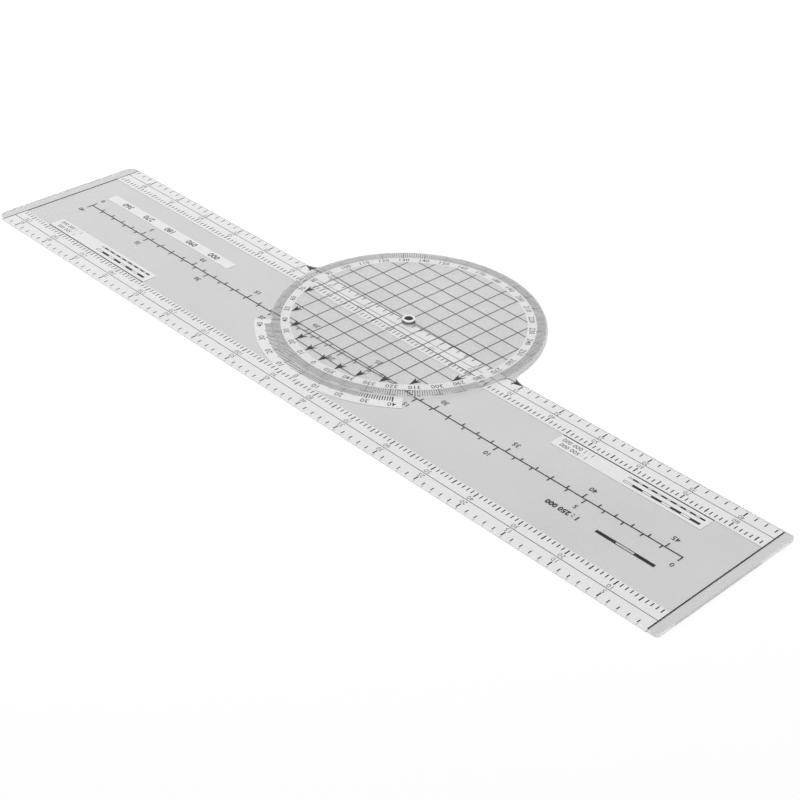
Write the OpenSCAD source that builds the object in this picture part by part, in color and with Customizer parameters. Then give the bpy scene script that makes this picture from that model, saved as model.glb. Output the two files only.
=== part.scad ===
// Chart plotter for flight planning: a clear straightedge with printed mile scales
// and a clear azimuth disc that turns on a hollow eyelet at the sheet's lower edge.
// Millimetres. X runs along the sheet, Y across it, Z up. The origin is on the
// eyelet's axis, at the underside of the sheet.

/* [Base sheet] */
// Length of the sheet
base_l = 330.2; // [260:0.1:420]
// Width of the straight body, from the pivot edge to the upper edge
base_w = 64.5; // [58:0.1:90]
// Thickness of the sheet
base_t = 1.27; // [1:0.01:2.5]
// Radius of the two corners at the right end
corner_r = 3.9; // [1:0.1:8]
// Radius of the two corners at the left end
left_corner_r = 1.3; // [0.5:0.1:8]
// How far the lobe stands out past the disc
lobe_lip = 0.5; // [0.2:0.1:2]
// Radius of the hollow corner between lobe and lower edge
lobe_fillet_r = 6; // [2:0.1:10]
// Least clear margin beyond each end line
end_margin = 3.8; // [2:0.1:12]

/* [Azimuth disc] */
// Radius of the disc
disc_r = 48.9; // [47:0.1:51]
// Thickness of the disc
disc_t = 0.76; // [0.6:0.01:1.5]
// Air between the sheet and the disc
disc_gap = 0.25; // [0.2:0.01:0.5]
// Turn of the disc from square, seen from above, anticlockwise
disc_turn = -1.4; // [-180:0.1:180]
// Width of the clear rim that carries the degree marks
rim_w = 3.5; // [2.5:0.1:5]
// Width of the white number band inside the rim
number_band_w = 3.2; // [2.6:0.1:5]
// Spacing of the course grid
grid_pitch = 7.8; // [5:0.1:12]
// Width of a grid line
grid_line_w = 0.35; // [0.2:0.05:0.6]
// Width of a degree mark on the disc
degree_mark_w = 0.2; // [0.1:0.01:0.4]
// Width of every tenth degree mark on the disc
ten_mark_w = 0.34; // [0.2:0.01:0.5]

/* [Eyelet] */
// Radius of the hole through the eyelet
eyelet_bore_r = 1.5; // [1:0.05:2.5]
// Wall of the eyelet's barrel
eyelet_wall = 0.3; // [0.2:0.05:0.5]
// Radius of the rolled head's round section
roll_r = 0.45; // [0.35:0.05:0.6]
// Running clearance between barrel and disc, on the radius
run_clear = 0.05; // [0.02:0.01:0.1]
// Clearance between the flare and its seat in the sheet, on the radius
seat_clear = 0.1; // [0.05:0.05:0.3]
// Air between the disc and the rolled head
head_gap = 0.05; // [0.03:0.01:0.2]

/* [Printing] */
// Thickness of one printed layer
ink_t = 0.05; // [0.02:0.01:0.08]
// Air between the lowest layer and the chart
chart_gap = 0.02; // [0.01:0.01:0.05]
// Width of a fine rule
fine_line_w = 0.25; // [0.15:0.01:0.4]
// Width of a heavy rule
heavy_line_w = 0.5; // [0.3:0.05:0.8]
// Width of an end line
end_line_w = 0.44; // [0.3:0.02:1]
// Length of an arrowhead
arrow_l = 4.6; // [2.5:0.1:6]
// Width of an arrowhead
arrow_w = 3; // [2:0.1:4]
// Depth of the notch in an arrowhead's back
arrow_notch = 1.4; // [0.4:0.1:1.6]

/* [Edge scales] */
// Width of each white edge band
band_w = 10.75; // [9.5:0.05:14]
// Ratio of the small-scale chart, one to this number
world_chart = 1000000; // [800000:50000:1500000]
// Ratio of the large-scale chart, one to this number
section_chart = 500000; // [400000:50000:1000000]
// Bare strip between a band's border and its row of marks
mark_inset = 0.3; // [0.1:0.05:0.6]
// Length of an ordinary mark
mark_l = 1.8; // [1.2:0.05:2.4]
// Length of every fifth mark
long_mark_l = 2.4; // [1.8:0.05:3]
// Width of an ordinary mark
mark_w = 0.4; // [0.25:0.01:0.6]
// Width of every fifth mark
long_mark_w = 0.48; // [0.3:0.01:0.9]
// Bare strip between the lower band's border and its inner row of marks
lower_mark_inset = 1; // [0.1:0.05:1.6]
// Height above the pivot edge of the rule between the lower band's two rows
lower_rule_y = 4.65; // [3.5:0.05:6]

/* [Centre scale] */
// Ratio of the terminal chart, one to this number
terminal_chart = 250000; // [200000:10000:400000]
// Height of the centre line above the pivot edge
centre_y = 31.85; // [26:0.05:40]
// Least clear strip between an end line and the centre scale
centre_inset = 12; // [6:0.1:30]
// Length of an ordinary mark on the centre line
centre_mark_l = 1.6; // [1:0.1:3]
// Length of every fifth mark on the centre line
centre_long_l = 2.4; // [1.5:0.1:4]
// Width of the centre line and its marks
centre_line_w = 0.36; // [0.2:0.02:0.6]

/* [Legends] */
// Length of a white legend panel
legend_l = 60.2; // [40:0.1:80]
// Height of a white legend panel
legend_h = 6.35; // [5:0.05:9]
// Distance of the upper panel from the right end line
upper_legend_inset = 15.5; // [8:0.1:40]
// Distance of the lower panel from the left end line
lower_legend_inset = 17.6; // [8:0.1:40]
// Length of the white title strip
title_l = 76.1; // [40:0.1:90]
// Height of the white title strip
title_h = 4.6; // [3:0.1:7]
// Distance of the title strip from the right end line
title_inset = 12.3; // [8:0.1:40]
// Gap between the centre line and the title strip
title_drop = 7.75; // [5:0.05:9]

/* [Variation scale] */
// Half angle of the white arc
arc_half = 43.8; // [25:0.1:60]
// Largest angle marked on each side of zero
arc_marked = 40; // [20:10:50]
// Width of the white arc outside the disc
arc_w = 5.8; // [4.5:0.1:7]
// How far the white arc and its marks run in under the disc's rim
arc_under = 0.6; // [0.3:0.1:2]
// Length of a degree mark outside the disc
arc_mark_l = 1.9; // [1:0.1:3]
// Extra length of every fifth degree mark
arc_long_extra = 0.35; // [0.1:0.05:1]
// Width of a degree mark
arc_mark_w = 0.36; // [0.2:0.02:0.5]

/* [Hidden] */
$fn = 96;
eps = 0.01;
// How far a cut runs past the face it opens
past = 1;

// One chart mile in millimetres on paper
nautical_mm = 1852000;
statute_mm = 1609344;
world_mile = nautical_mm / world_chart;
section_mile = nautical_mm / section_chart;
terminal_mile = nautical_mm / terminal_chart;
terminal_statute = statute_mm / terminal_chart;

// The long scale takes as many whole miles as the sheet holds between its margins
scale_miles = floor((base_l - 2 * end_margin) / world_mile);
scale_l = scale_miles * world_mile;
end_x = scale_l / 2;
section_miles = floor(scale_l / section_mile + eps);
centre_miles = floor((scale_l - 2 * centre_inset) / terminal_mile);
centre_l = centre_miles * terminal_mile;
centre_statute = floor((centre_l - centre_mark_l) / terminal_statute);
every = 5;

// Heights of the stack, from the chart up. Both sheets are printed on the underside,
// black first and white behind it, so black is the upper layer
relief = chart_gap + 2 * ink_t;
base_white_z = chart_gap;
base_black_z = chart_gap + ink_t;
disc_z = base_t + disc_gap;
disc_black_z = disc_z - ink_t;
disc_white_z = disc_z - 2 * ink_t;
head_z = disc_z + disc_t + head_gap;

barrel_r = eyelet_bore_r + eyelet_wall;
head_r = eyelet_bore_r + 2 * roll_r;
seat_r = head_r + seat_clear;
print_clear = 0.2;
lobe_r = disc_r + lobe_lip;
band_out_r = disc_r - rim_w;
band_in_r = band_out_r - number_band_w;
arc_in_r = disc_r - arc_under;
arc_out_r = disc_r + arc_w;
arc_mark_out_r = disc_r + arc_mark_l + arc_long_extra;
// How far behind an arrowhead's tip its line ends, midway to the notch
arrow_stem = (arrow_l - arrow_notch) / 2;

// Flat shapes

// Half of the straight body, from the middle to an end with rounded corners.
// The side is 1 for the right half and -1 for the left
module body_half(l, w, r, side) {
    mirror([side < 0 ? 1 : 0, 0]) {
        translate([-eps, 0]) square([l / 2 - r + eps, w]);
        translate([0, r]) square([l / 2, w - 2 * r]);
        for (y = [r, w - r]) translate([l / 2 - r, y]) circle(r);
    }
}

// Hollow corners where the lobe runs into the lower edge
module lobe_fillets() {
    reach = lobe_r + lobe_fillet_r;
    x = sqrt(reach * reach - lobe_fillet_r * lobe_fillet_r);
    difference() {
        polygon([[-x, eps], [-x, -lobe_fillet_r], [0, 0], [x, -lobe_fillet_r], [x, eps]]);
        for (side = [-1, 1])
            translate([side * x, -lobe_fillet_r]) circle(lobe_fillet_r - eps);
    }
}

module base_outline() {
    body_half(base_l, base_w, corner_r, 1);
    body_half(base_l, base_w, left_corner_r, -1);
    circle(lobe_r);
    lobe_fillets();
}

module ring(outer_r, inner_r) {
    difference() {
        circle(outer_r);
        circle(inner_r);
    }
}

// Outline of short straight sides that just clears a circle of radius r
module faceted_circle(r) {
    sides = 180;
    step = 360 / sides;
    polygon([for (i = [0 : sides - 1]) r / cos(step / 2) * [cos(i * step), sin(i * step)]]);
}

// Slice of the plane between two angles less than 180 degrees apart
module wedge(from_deg, to_deg, r) {
    reach = 2 * r;
    mid = (from_deg + to_deg) / 2;
    polygon([
        [0, 0],
        reach * [cos(from_deg), sin(from_deg)],
        reach * [cos(mid), sin(mid)],
        reach * [cos(to_deg), sin(to_deg)]
    ]);
}

// Rectangle given by its middle in X and its span in Y
module bar(x, y0, y1, w) {
    translate([x - w / 2, min(y0, y1)]) square([w, abs(y1 - y0)]);
}

// Swallow-tailed arrowhead with its tip at the origin, pointing along -Y
module arrowhead() {
    polygon([
        [0, 0],
        [arrow_w / 2, arrow_l],
        [0, arrow_l - arrow_notch],
        [-arrow_w / 2, arrow_l]
    ]);
}

// Row of scale marks along X. Marks start at y and run the way that side points
module mark_row(x0, pitch, count, y, side, first = 0) {
    for (i = [first : count]) {
        long = i % every == 0;
        x = x0 + i * pitch;
        if (abs(x) < end_x - end_line_w)
            bar(x, y, y + side * (long ? long_mark_l : mark_l), long ? long_mark_w : mark_w);
    }
}

module print(z) {
    translate([0, 0, z]) linear_extrude(ink_t) children();
}

module eyelet_hole() {
    circle(seat_r + print_clear);
}

// Line through the pivot with an arrowhead at each end
module course_shape() {
    tip_x = lobe_r + lobe_fillet_r;
    intersection() {
        union() {
            bar(0, 0, grid_line_w, 2 * (tip_x - arrow_stem));
            for (side = [-1, 1])
                translate([side * tip_x, grid_line_w / 2]) rotate(side * 90) arrowhead();
        }
        base_outline();
    }
}

// Base sheet and eyelet

module base_sheet() {
    color("gainsboro", 0.35) difference() {
        linear_extrude(base_t) base_outline();
        // Shallow relief that keeps the printing off the chart
        translate([-end_x - end_line_w / 2, -lobe_r - past, -past])
            cube([scale_l + end_line_w, base_w + lobe_r + 2 * past, relief + past]);
        translate([0, 0, -past]) cylinder(h = roll_r + past, r = seat_r);
        translate([0, 0, -past]) cylinder(h = base_t + 2 * past, r = barrel_r);
    }
}

module pivot_eyelet() {
    color("silver") rotate_extrude() {
        translate([eyelet_bore_r, 0]) square([eyelet_wall, head_z]);
        // Rolled head over the disc
        intersection() {
            translate([eyelet_bore_r + roll_r, head_z]) circle(roll_r);
            translate([eyelet_bore_r, head_z]) square([2 * roll_r, roll_r]);
        }
        // Flare pressed flush into its seat under the sheet
        translate([eyelet_bore_r, 0]) square([roll_r, roll_r]);
        intersection() {
            translate([eyelet_bore_r + roll_r, roll_r]) circle(roll_r);
            translate([eyelet_bore_r + roll_r, 0]) square([roll_r, roll_r]);
        }
    }
}

// White printing on the sheet

// The band gives way to the variation arc, whose crown runs into it
module upper_scale_band() {
    color("white") print(base_white_z) difference() {
        translate([-end_x, base_w - band_w]) square([scale_l, band_w]);
        faceted_circle(arc_out_r);
    }
}

module lower_scale_band() {
    color("white") print(base_white_z) difference() {
        translate([-end_x, 0]) square([scale_l, band_w]);
        eyelet_hole();
    }
}

module upper_legend_panel() {
    y1 = base_w - band_w - heavy_line_w;
    color("white") print(base_white_z)
        translate([end_x - upper_legend_inset - legend_l, y1 - legend_h]) square([legend_l, legend_h]);
}

module lower_legend_panel() {
    y0 = band_w + heavy_line_w;
    color("white") print(base_white_z)
        translate([-end_x + lower_legend_inset, y0]) square([legend_l, legend_h]);
}

module title_strip() {
    y0 = centre_y - title_drop - title_h;
    color("white") print(base_white_z)
        translate([end_x - title_inset - title_l, y0]) square([title_l, title_h]);
}

module variation_band() {
    color("white") print(base_white_z) intersection() {
        ring(arc_out_r, arc_in_r);
        wedge(90 - arc_half, 90 + arc_half, arc_out_r);
    }
}

// Black printing on the sheet

module upper_scale_marks() {
    mid_y = base_w - band_w / 2;
    color("black") print(base_black_z) difference() {
        union() {
            mark_row(-end_x, world_mile, scale_miles, base_w - band_w + mark_inset, 1);
            mark_row(-end_x, section_mile, section_miles, base_w - mark_inset, -1);
            bar(0, mid_y - fine_line_w / 2, mid_y + fine_line_w / 2, scale_l - end_line_w);
        }
        faceted_circle(arc_mark_out_r);
    }
}

// Both rows count outwards from the pivot. The outer row's zero falls in the eyelet's hole
module lower_scale_marks() {
    color("black") print(base_black_z) difference() {
        union() {
            for (side = [-1, 1]) {
                mark_row(0, side * world_mile, scale_miles / 2, band_w - lower_mark_inset, -1);
                mark_row(0, side * section_mile, section_miles / 2, mark_inset, 1, first = 1);
            }
            bar(0, lower_rule_y - fine_line_w / 2, lower_rule_y + fine_line_w / 2,
                scale_l - end_line_w);
        }
        course_shape();
        eyelet_hole();
    }
}

module legend_rules() {
    color("black") print(base_black_z) {
        translate([end_x - upper_legend_inset - legend_l, base_w - band_w - heavy_line_w])
            square([legend_l, heavy_line_w]);
        translate([-end_x + lower_legend_inset, band_w]) square([legend_l, heavy_line_w]);
    }
}

// Nautical marks stand above the line and count from the left,
// statute marks hang below it and count from the right
module centre_scale_marks() {
    color("black") print(base_black_z) {
        bar(0, centre_y - centre_line_w / 2, centre_y + centre_line_w / 2,
            centre_l + centre_line_w);
        for (i = [0 : centre_miles])
            bar(-centre_l / 2 + i * terminal_mile, centre_y,
                centre_y + (i % every == 0 ? centre_long_l : centre_mark_l), centre_line_w);
        for (i = [0 : centre_statute])
            bar(centre_l / 2 - i * terminal_statute, centre_y,
                centre_y - (i % every == 0 ? centre_long_l : centre_mark_l), centre_line_w);
    }
}

module end_lines() {
    color("black") print(base_black_z) for (side = [-1, 1])
        bar(side * end_x, 0, base_w, end_line_w);
}

module course_line() {
    color("black") print(base_black_z) difference() {
        course_shape();
        eyelet_hole();
    }
}

module variation_marks() {
    color("black") print(base_black_z) for (a = [-arc_marked : arc_marked]) {
        long = a % every == 0;
        ten = a % (2 * every) == 0;
        rotate(a) bar(0, arc_in_r, long ? arc_mark_out_r : disc_r + arc_mark_l,
            ten ? long_mark_w : arc_mark_w);
    }
}

// Azimuth disc and its printing

module azimuth_disc() {
    color("gainsboro", 0.35) translate([0, 0, disc_z]) rotate(disc_turn)
        linear_extrude(disc_t) ring(disc_r, barrel_r + run_clear);
}

module azimuth_band() {
    color("white") print(disc_white_z) ring(band_out_r, band_in_r);
}

module azimuth_marks() {
    color("black") rotate(disc_turn) print(disc_black_z) for (a = [0 : 359]) {
        ten = a % (2 * every) == 0;
        rotate(a) bar(0, band_out_r + (ten ? 0 : print_clear), disc_r - print_clear,
            ten ? ten_mark_w : degree_mark_w);
    }
}

// Square grid of course lines. Those along Y end in arrowheads that point to zero
module course_grid() {
    lines = floor(band_in_r / grid_pitch - eps);
    color("black") rotate(disc_turn) print(disc_black_z) difference() {
        for (i = [-lines : lines]) {
            d = i * grid_pitch;
            half = sqrt(band_in_r * band_in_r - d * d);
            bar(d, -half, half - arrow_stem, grid_line_w);
            rotate(90) bar(d, -half, half, grid_line_w);
            translate([d, half]) rotate(180) arrowhead();
        }
        eyelet_hole();
    }
}

base_sheet();
pivot_eyelet();
upper_scale_band();
lower_scale_band();
upper_legend_panel();
lower_legend_panel();
title_strip();
variation_band();
upper_scale_marks();
lower_scale_marks();
legend_rules();
centre_scale_marks();
end_lines();
course_line();
variation_marks();
azimuth_disc();
azimuth_band();
azimuth_marks();
course_grid();
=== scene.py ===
import math

import bpy
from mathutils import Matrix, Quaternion, Vector


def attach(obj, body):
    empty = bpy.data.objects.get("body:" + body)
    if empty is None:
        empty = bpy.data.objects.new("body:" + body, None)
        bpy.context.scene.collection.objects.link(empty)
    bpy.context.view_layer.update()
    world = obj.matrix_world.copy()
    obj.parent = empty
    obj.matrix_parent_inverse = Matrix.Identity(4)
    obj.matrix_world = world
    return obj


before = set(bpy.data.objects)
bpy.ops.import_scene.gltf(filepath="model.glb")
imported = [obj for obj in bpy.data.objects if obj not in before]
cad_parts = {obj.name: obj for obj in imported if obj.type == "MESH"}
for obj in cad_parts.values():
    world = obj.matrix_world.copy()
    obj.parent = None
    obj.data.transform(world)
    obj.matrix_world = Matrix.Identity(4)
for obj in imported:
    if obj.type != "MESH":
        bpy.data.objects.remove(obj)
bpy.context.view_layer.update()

MM = 0.001
bpy.context.scene.view_settings.view_transform = "Standard"


# Camera, lamps and table

LENS = 74.29
CAMERA_AT = Vector((-0.35712, 0.35534, 0.3025))
CAMERA_AIM = Vector((-0.0331, 0.0358, 0))
CAMERA_ROLL = 1.72
SENSOR_W = 36
CLIP_START = 0.01

SKY_LIGHT = 0.69
WHITE = (1, 1, 1, 1)
LAMP_AT = Vector((0.9, -0.6, 1.5))
LAMP_SIZE = 1.0
LAMP_WATTS = 18.2
TABLE_SIZE = 12
TABLE_DROP = 0.02 * MM
TABLE_COLOUR = (0.9, 0.9, 0.9, 1)
# The table's glow rises from near to far between these distances from the pivot
NEAR_GLOW = 0.07
FAR_GLOW = 0.38
GLOW_START = 0.25
GLOW_END = 1.4


def turned_to(place, aim, roll=0):
    """Rotation that faces the aim from the place, rolled by some degrees."""
    facing = (aim - place).to_track_quat("-Z", "Y")
    return facing @ Quaternion((0, 0, 1), math.radians(roll))


def add_camera():
    bpy.ops.object.camera_add(location=CAMERA_AT)
    camera = bpy.context.object
    camera.name = "camera"
    camera.data.lens = LENS
    camera.data.sensor_width = SENSOR_W
    camera.data.clip_start = CLIP_START
    camera.rotation_mode = "QUATERNION"
    camera.rotation_quaternion = turned_to(CAMERA_AT, CAMERA_AIM, CAMERA_ROLL)
    bpy.context.scene.camera = camera


def empty_nodes(tree):
    tree.nodes.clear()
    return tree.nodes, tree.links


def feed(links, socket, value):
    """Sets a number on the socket, or links another socket to it."""
    if isinstance(value, (int, float)):
        socket.default_value = value
    else:
        links.new(value, socket)


def math_node(nodes, links, kind, first, second=0):
    node = nodes.new("ShaderNodeMath")
    node.operation = kind
    feed(links, node.inputs[0], first)
    feed(links, node.inputs[1], second)
    return node.outputs[0]


def seen_directly(nodes, links):
    """1 for rays from the camera, off gloss and through clear plastic, else 0."""
    path = nodes.new("ShaderNodeLightPath").outputs
    seen = math_node(nodes, links, "MAXIMUM", path["Is Camera Ray"], path["Is Glossy Ray"])
    return math_node(nodes, links, "MAXIMUM", seen, path["Is Transmission Ray"])


def light_sky():
    world = bpy.data.worlds.new("studio")
    world.use_nodes = True
    bpy.context.scene.world = world
    nodes, links = empty_nodes(world.node_tree)
    sky = nodes.new("ShaderNodeBackground")
    sky.inputs["Color"].default_value = WHITE
    extra = math_node(nodes, links, "MULTIPLY", seen_directly(nodes, links), 1 - SKY_LIGHT)
    links.new(math_node(nodes, links, "ADD", extra, SKY_LIGHT), sky.inputs["Strength"])
    out = nodes.new("ShaderNodeOutputWorld")
    links.new(sky.outputs[0], out.inputs["Surface"])


def add_lamp():
    bpy.ops.object.light_add(type="AREA", location=LAMP_AT)
    lamp = bpy.context.object
    lamp.name = "softbox"
    lamp.data.size = LAMP_SIZE
    lamp.data.energy = LAMP_WATTS
    lamp.visible_glossy = False
    lamp.visible_transmission = False
    lamp.rotation_mode = "QUATERNION"
    lamp.rotation_quaternion = turned_to(LAMP_AT, Vector((0, 0, 0)))


def table_glow(nodes, links):
    """Keeps the table pale far from the lamp, where less light falls on it."""
    distance = nodes.new("ShaderNodeVectorMath")
    distance.operation = "LENGTH"
    links.new(nodes.new("ShaderNodeTexCoord").outputs["Object"], distance.inputs[0])
    glow = spread(nodes, links, distance.outputs["Value"], NEAR_GLOW, FAR_GLOW, GLOW_START, GLOW_END)
    return math_node(nodes, links, "MULTIPLY", seen_directly(nodes, links), glow)


def add_table():
    bpy.ops.mesh.primitive_plane_add(size=TABLE_SIZE, location=(0, 0, -TABLE_DROP))
    table = bpy.context.object
    table.name = "table"
    material = bpy.data.materials.new("pale_table")
    material.use_nodes = True
    nodes, links = material.node_tree.nodes, material.node_tree.links
    surface = nodes["Principled BSDF"]
    surface.inputs["Base Color"].default_value = TABLE_COLOUR
    surface.inputs["Roughness"].default_value = 1
    surface.inputs["Specular IOR Level"].default_value = 0
    surface.inputs["Emission Color"].default_value = WHITE
    links.new(table_glow(nodes, links), surface.inputs["Emission Strength"])
    table.data.materials.append(material)


# Materials

PLASTIC_IOR = 1.49
GLARE = 0.1
CUT_DARK = 0.86
CUT_LIGHT = 0.92
# Ink bonded to plastic has next to no gloss of its own
INK_GLOSS = 0.05
# Inside this radius the plating is painted dark as painted shade in the bore, fading out just beyond it
BORE_R = 1.5 * MM
BORE_FADE = 1.06


def grey(level):
    return (level, level, level, 1)


def new_material(name):
    """A node material with its surface shader and its object coordinates."""
    material = bpy.data.materials.new(name)
    material.use_nodes = True
    nodes, links = material.node_tree.nodes, material.node_tree.links
    coordinates = nodes.new("ShaderNodeTexCoord").outputs["Object"]
    return material, nodes, links, nodes["Principled BSDF"], coordinates


def noise(nodes, links, coordinates, scale, detail=3, stretch=(1, 1, 1), turn=0):
    mapping = nodes.new("ShaderNodeMapping")
    mapping.inputs["Scale"].default_value = stretch
    mapping.inputs["Rotation"].default_value = (0, 0, math.radians(turn))
    links.new(coordinates, mapping.inputs["Vector"])
    texture = nodes.new("ShaderNodeTexNoise")
    texture.inputs["Scale"].default_value = scale
    texture.inputs["Detail"].default_value = detail
    links.new(mapping.outputs[0], texture.inputs["Vector"])
    return texture.outputs["Fac"]


def spread(nodes, links, factor, low, high, start=0.35, end=0.65):
    """Maps the middle of a noise onto the span from low to high."""
    span = nodes.new("ShaderNodeMapRange")
    span.inputs["From Min"].default_value = start
    span.inputs["From Max"].default_value = end
    span.inputs["To Min"].default_value = low
    span.inputs["To Max"].default_value = high
    links.new(factor, span.inputs["Value"])
    return span.outputs["Result"]


def blend_of(nodes, links, factor, dark, light):
    """A colour between dark and light, by the middle of a noise."""
    ramp = nodes.new("ShaderNodeValToRGB")
    ramp.color_ramp.elements[0].color = dark
    ramp.color_ramp.elements[0].position = 0.3
    ramp.color_ramp.elements[1].color = light
    ramp.color_ramp.elements[1].position = 0.7
    links.new(factor, ramp.inputs["Fac"])
    return ramp.outputs["Color"]


def bump(nodes, links, shader, height, strength, distance):
    node = nodes.new("ShaderNodeBump")
    node.inputs["Strength"].default_value = strength
    node.inputs["Distance"].default_value = distance
    links.new(height, node.inputs["Height"])
    links.new(node.outputs[0], shader.inputs["Normal"])


def upright(nodes, links):
    """1 on faces that stand upright, such as cut edges, and 0 on level ones."""
    normal = nodes.new("ShaderNodeTexCoord").outputs["Normal"]
    parts = nodes.new("ShaderNodeSeparateXYZ")
    links.new(normal, parts.inputs[0])
    height = math_node(nodes, links, "ABSOLUTE", parts.outputs["Z"])
    return math_node(nodes, links, "LESS_THAN", height, 0.5)


def blend_by(nodes, links, factor, first, second):
    """Numbers or sockets mixed by a factor, first at 0 and second at 1."""
    node = nodes.new("ShaderNodeMix")
    node.data_type = "FLOAT"
    links.new(factor, node.inputs["Factor"])
    feed(links, node.inputs["A"], first)
    feed(links, node.inputs["B"], second)
    return node.outputs["Result"]


def blend_colours(nodes, links, factor, first, second):
    """Colours mixed by a factor, by the numbers of a mix node's colour sockets."""
    node = nodes.new("ShaderNodeMix")
    node.data_type = "RGBA"
    links.new(factor, node.inputs["Factor"])
    links.new(first, node.inputs[6])
    links.new(second, node.inputs[7])
    return node.outputs[2]


def clear_plastic(name, dark, light, shade, cut_clarity, cut_roughness):
    """Clear sheet, polished on its faces with fine scratches, and duller where it is cut.

    Dark and light are the tints that it is seen through. Shade is what each face lets
    through of the light that falls on the things behind it.
    """
    material, nodes, links, shader, coordinates = new_material(name)
    shader.inputs["IOR"].default_value = PLASTIC_IOR
    shader.inputs["Specular Tint"].default_value = grey(GLARE)
    edge = upright(nodes, links)
    cloud = noise(nodes, links, coordinates, 22)
    clear = blend_of(nodes, links, cloud, grey(dark), grey(light))
    saw = noise(nodes, links, coordinates, 500, detail=2, stretch=(1, 1, 0.2))
    frosted = blend_of(nodes, links, saw, grey(CUT_DARK), grey(CUT_LIGHT))
    links.new(blend_colours(nodes, links, edge, clear, frosted), shader.inputs["Base Color"])
    links.new(blend_by(nodes, links, edge, 1.0, cut_clarity), shader.inputs["Transmission Weight"])
    rub = noise(nodes, links, coordinates, 160, stretch=(0.25, 1, 1), turn=12)
    gloss = spread(nodes, links, rub, 0.01, 0.04)
    links.new(blend_by(nodes, links, edge, gloss, cut_roughness), shader.inputs["Roughness"])
    scratch = noise(nodes, links, coordinates, 420, detail=2, stretch=(0.06, 1, 1), turn=-8)
    bump(nodes, links, shader, scratch, 0.02, 0.01 * MM)
    straight = nodes.new("ShaderNodeBsdfTransparent")
    straight.inputs["Color"].default_value = grey(shade)
    path = nodes.new("ShaderNodeLightPath").outputs
    passing = math_node(nodes, links, "MAXIMUM", path["Is Shadow Ray"], path["Is Diffuse Ray"])
    mix = nodes.new("ShaderNodeMixShader")
    links.new(passing, mix.inputs[0])
    links.new(shader.outputs[0], mix.inputs[1])
    links.new(straight.outputs[0], mix.inputs[2])
    links.new(mix.outputs[0], nodes["Material Output"].inputs["Surface"])
    return material


def ink(name, dark, light, roughness):
    """Matt printed ink, a little uneven, with the grain of its screen."""
    material, nodes, links, shader, coordinates = new_material(name)
    shader.inputs["Specular IOR Level"].default_value = INK_GLOSS
    patch = noise(nodes, links, coordinates, 900, detail=4)
    links.new(blend_of(nodes, links, patch, grey(dark), grey(light)), shader.inputs["Base Color"])
    links.new(spread(nodes, links, patch, roughness - 0.08, roughness + 0.08), shader.inputs["Roughness"])
    grain = noise(nodes, links, coordinates, 5200, detail=1)
    bump(nodes, links, shader, grain, 0.15, 0.01 * MM)
    return material


def plated_metal():
    """Bright plating with fine turning marks and small dull spots, painted dark in the bore as painted
    shade.
    """
    material, nodes, links, shader, coordinates = new_material("plated_metal")
    shader.inputs["Metallic"].default_value = 1
    tone = noise(nodes, links, coordinates, 1400)
    bright = blend_of(nodes, links, tone, grey(0.78), grey(0.92))
    # Painted shade: darker metal inside the bore stands in for the shade and dark reflections there
    bore_shade = blend_of(nodes, links, tone, grey(0.22), grey(0.32))
    flat = nodes.new("ShaderNodeMapping")
    flat.inputs["Scale"].default_value = (1, 1, 0)
    links.new(coordinates, flat.inputs["Vector"])
    radius = nodes.new("ShaderNodeVectorMath")
    radius.operation = "LENGTH"
    links.new(flat.outputs[0], radius.inputs[0])
    outside = spread(nodes, links, radius.outputs["Value"], 0, 1, BORE_R, BORE_R * BORE_FADE)
    links.new(blend_colours(nodes, links, outside, bore_shade, bright), shader.inputs["Base Color"])
    polish = spread(nodes, links, tone, 0.12, 0.26)
    links.new(blend_by(nodes, links, outside, 0.6, polish), shader.inputs["Roughness"])
    turning = noise(nodes, links, coordinates, 3000, stretch=(1, 1, 6))
    bump(nodes, links, shader, turning, 0.1, 0.02 * MM)
    return material


def dress(names, material):
    for name in names:
        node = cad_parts[name]
        node.data.materials.clear()
        node.data.materials.append(material)


# Printing, in millimetres. The black ink lies against the plastic, the white ink behind it

INK_T = 0.05
SHEET_INK_Z = 0.07
DISC_INK_Z = 1.47
# How far each ink is pressed into the plastic. Digits go half as far
BITE = 0.006
WHITE_BITE = 0.002
# Height of a digit in a font of size 1, and line weights as a part of that height
FONT_DIGIT = 0.69
FONT_THIN = -0.01
FONT_FIRM = 0.006
FONT_HEAVY = 0.03

SHEET_WHITE = (
    "upper_scale_band", "lower_scale_band", "upper_legend_panel",
    "lower_legend_panel", "title_strip", "variation_band",
)
SHEET_BLACK = (
    "upper_scale_marks", "lower_scale_marks", "legend_rules", "centre_scale_marks",
    "end_lines", "course_line", "variation_marks",
)
DISC_WHITE = ("azimuth_band",)
DISC_BLACK = ("azimuth_marks", "course_grid")


def press(names, rise):
    """Lets ink touch the plastic over it, with no film of air between them."""
    for name in names:
        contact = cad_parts[name].modifiers.new("contact", "DISPLACE")
        contact.direction = "Z"
        contact.mid_level = 0
        contact.strength = rise * MM


def without_shadow(pieces):
    """Print high over the chart: dulled plastic spreads the light that it would block."""
    for piece in pieces:
        piece.visible_shadow = False
        piece.visible_diffuse = False


def deselect():
    bpy.ops.object.select_all(action="DESELECT")


def add_number(body, x, y, height, z, turn=0, weight=FONT_THIN):
    """Upright digits centred on x and y, in millimetres, turned about the Z axis."""
    angle = math.radians(turn)
    foot = Vector((math.sin(angle), -math.cos(angle))) * height / 2
    deselect()
    bpy.ops.object.text_add(location=(x + foot.x, y + foot.y, z + INK_T / 2), rotation=(0, 0, angle))
    text = bpy.context.object
    text.data.body = str(body)
    text.data.align_x = "CENTER"
    text.data.size = height / FONT_DIGIT
    text.data.offset = weight * height
    text.data.extrude = (INK_T + BITE) / 2
    text.data.resolution_u = 2
    return text


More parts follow.
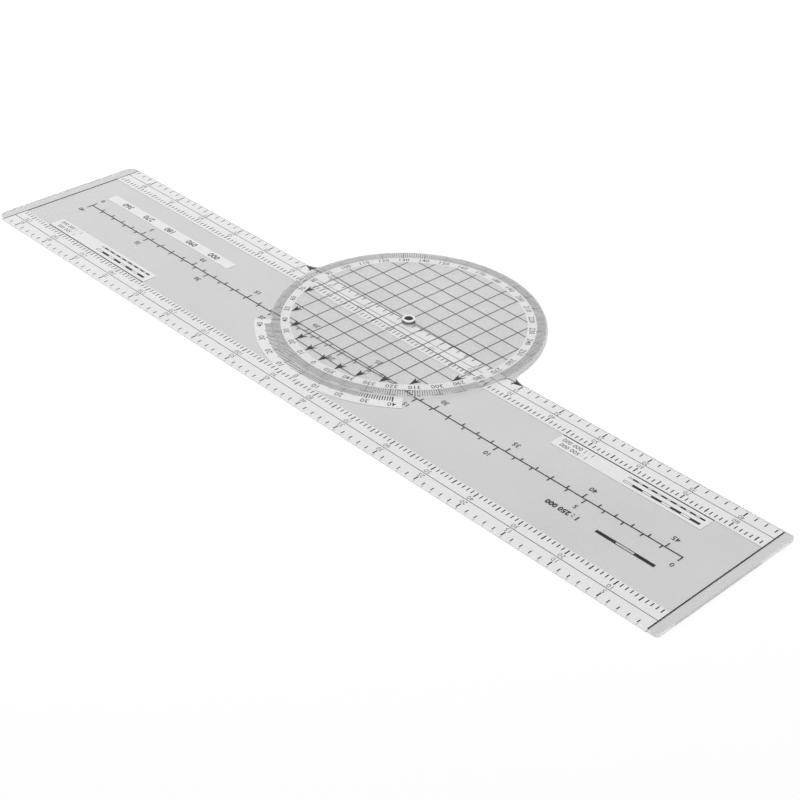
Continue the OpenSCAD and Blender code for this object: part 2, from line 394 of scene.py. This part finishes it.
def as_one_piece(name, parts, material, body):
    """Joins shapes drawn in millimetres into one printed piece in metres."""
    deselect()
    for part in parts:
        part.select_set(True)
    bpy.context.view_layer.objects.active = parts[0]
    bpy.ops.object.convert(target="MESH")
    bpy.ops.object.transform_apply(location=True, rotation=True, scale=True)
    bpy.ops.object.join()
    piece = bpy.context.object
    piece.name = piece.data.name = name
    piece.scale = (MM, MM, MM)
    bpy.ops.object.transform_apply(location=True, rotation=True, scale=True)
    piece.data.materials.clear()
    piece.data.materials.append(material)
    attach(piece, body)
    return piece


# Chart miles as the scales show them, and where the scales end
WORLD_MILE = 1.852
SECTION_MILE = 3.704
TERMINAL_MILE = 7.408
TERMINAL_STATUTE = 6.437376
END_X = 161.124
CENTRE_END = 148.16
DISC_TURN = -1.4

# Rows of numbers: the row's height above the pivot, and the height of its digits
UPPER_WORLD_ROW = (57.8, 1.75)
UPPER_SECTION_ROW = (60.7, 1.75)
LOWER_WORLD_ROW = (6.3, 1.75)
LOWER_SECTION_ROW = (3.62, 1.6)
NAUTICAL_ROW = (36.9, 1.9)
STATUTE_ROW = (26.6, 2.0)
BEARING_ROW = (21.8, 2.5)
TERMINAL_RATIO_ROW = (41.1, 2.0)
# Rings of numbers: the ring's radius, and the height of its digits
ARC_RING = (52.75, 2.1)
DISC_RING = (43.9, 2.0)

# Legend panels: where the bars start, the middle of the ratios, and the upper row's height
LEGENDS = ((87.7, 137.4, 51.2), (-141.9, -91.6, 15.7))
ROW_STEP = 2.6
RATIO_H = 1.7
TERMINAL_RATIO_X = -109.5
FIRST_BEARING_X = 83.5
BEARING_STEP = 13.6
# Bar scales: height of each kind, the lone bar's place, and the rim of an open block
SECTION_BAR_H = 1.1
WORLD_BAR_H = 0.8
TERMINAL_BAR_H = 1.2
TERMINAL_BAR_AT = (-145.2, 41.2)
BAR_RIM = 0.18


def upper_scale_numbers():
    for mile in range(10, 171, 10):
        yield add_number(mile, -END_X + mile * WORLD_MILE, *UPPER_WORLD_ROW, SHEET_INK_Z)
    for mile in range(5, 86, 5):
        yield add_number(mile, -END_X + mile * SECTION_MILE, *UPPER_SECTION_ROW, SHEET_INK_Z)


def lower_scale_numbers():
    for side in (-1, 1):
        for mile in range(10, 81, 10):
            yield add_number(mile, side * mile * WORLD_MILE, *LOWER_WORLD_ROW, SHEET_INK_Z)
        for mile in range(5, 41, 5):
            yield add_number(mile, side * mile * SECTION_MILE, *LOWER_SECTION_ROW, SHEET_INK_Z)


def centre_scale_numbers():
    for mile in range(0, 41, 5):
        yield add_number(mile, -CENTRE_END + mile * TERMINAL_MILE, *NAUTICAL_ROW, SHEET_INK_Z)
    for mile in range(0, 46, 5):
        yield add_number(mile, CENTRE_END - mile * TERMINAL_STATUTE, *STATUTE_ROW, SHEET_INK_Z)


def round_number(body, degrees, radius, height, z):
    """A number on a ring round the pivot, turned anticlockwise from the upper edge's side."""
    angle = math.radians(degrees)
    return add_number(body, -radius * math.sin(angle), radius * math.cos(angle), height, z,
                      turn=degrees, weight=FONT_FIRM)


def variation_numbers():
    for degrees in range(-40, 41, 10):
        yield round_number(abs(degrees), degrees, *ARC_RING, SHEET_INK_Z)


def azimuth_numbers():
    for degrees in range(0, 360, 10):
        yield round_number(degrees, DISC_TURN - degrees, *DISC_RING, DISC_INK_Z)


def add_bar_scale(x, y, block_l, blocks, height):
    """Bar scale from x to the right: filled blocks between open ones with a thin rim."""
    deselect()
    bpy.ops.mesh.primitive_grid_add(x_subdivisions=blocks, y_subdivisions=1, size=1)
    bar = bpy.context.object
    bar.scale = (block_l * blocks, height, 1)
    bar.location = (x + block_l * blocks / 2, y, SHEET_INK_Z)
    bpy.ops.object.transform_apply(location=True, rotation=True, scale=True)
    for face in bar.data.polygons:
        face.select = int((face.center.x - x) / block_l) % 2 == 1
    bpy.context.tool_settings.mesh_select_mode = (False, False, True)
    bpy.ops.object.mode_set(mode="EDIT")
    bpy.ops.mesh.inset(thickness=BAR_RIM, use_individual=True)
    bpy.ops.mesh.delete(type="FACE")
    bpy.ops.mesh.select_all(action="SELECT")
    bpy.ops.object.mode_set(mode="OBJECT")
    thick = bar.modifiers.new("thickness", "SOLIDIFY")
    thick.thickness = INK_T + BITE
    thick.offset = 1
    return bar


def legend_bars():
    for x, _, y in LEGENDS:
        yield add_bar_scale(x, y, SECTION_MILE, 8, SECTION_BAR_H)
        yield add_bar_scale(x, y - ROW_STEP, WORLD_MILE, 16, WORLD_BAR_H)
    yield add_bar_scale(*TERMINAL_BAR_AT, TERMINAL_MILE, 3, TERMINAL_BAR_H)


def chart_ratios():
    for _, x, y in LEGENDS:
        yield add_number("1 : 500 000", x, y, RATIO_H, SHEET_INK_Z, weight=FONT_FIRM)
        yield add_number("1 : 1 000 000", x, y - ROW_STEP, RATIO_H, SHEET_INK_Z, weight=FONT_FIRM)
    yield add_number("1 : 250 000", TERMINAL_RATIO_X, *TERMINAL_RATIO_ROW, SHEET_INK_Z, weight=FONT_HEAVY)


def quarter_bearings():
    for quarter in range(5):
        x = FIRST_BEARING_X + quarter * BEARING_STEP
        yield add_number("%03d" % (90 * quarter), x, *BEARING_ROW, SHEET_INK_Z, weight=FONT_HEAVY)


def build():
    add_camera()
    light_sky()
    add_lamp()
    add_table()

    # The sheet's grey tint is partly the plastic's own and mostly painted shade, standing in for the
    # shade on the table under the sheet
    sheet_plastic = clear_plastic("clear_sheet", dark=0.612, light=0.65, shade=0.97,
                                  cut_clarity=0.35, cut_roughness=0.4)
    disc_plastic = clear_plastic("clear_disc", dark=0.98, light=1.0, shade=0.97,
                                 cut_clarity=0.8, cut_roughness=0.2)
    white = ink("white_ink", dark=0.92, light=0.96, roughness=0.6)
    # The disc's white ink is the sheet's white print painted darker as painted shade, so the ring on the
    # nearly untinted disc renders as grey as the print seen through the sheet
    shaded_disc_white = ink("disc_white_ink", dark=0.68, light=0.735, roughness=0.6)
    black = ink("black_ink", dark=0.015, light=0.03, roughness=0.5)
    dress(("base_sheet",), sheet_plastic)
    dress(("azimuth_disc",), disc_plastic)
    dress(SHEET_WHITE, white)
    dress(DISC_WHITE, shaded_disc_white)
    dress(SHEET_BLACK + DISC_BLACK, black)
    dress(("pivot_eyelet",), plated_metal())
    press(SHEET_WHITE + DISC_WHITE, INK_T + WHITE_BITE)
    press(SHEET_BLACK + DISC_BLACK, BITE)

    for draw in (upper_scale_numbers, lower_scale_numbers, centre_scale_numbers,
                 variation_numbers, legend_bars, chart_ratios, quarter_bearings):
        as_one_piece(draw.__name__, list(draw()), black, "sheet")
    numbers = as_one_piece("azimuth_numbers", list(azimuth_numbers()), black, "disc")
    without_shadow([numbers] + [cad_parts[name] for name in DISC_WHITE + DISC_BLACK])


build()
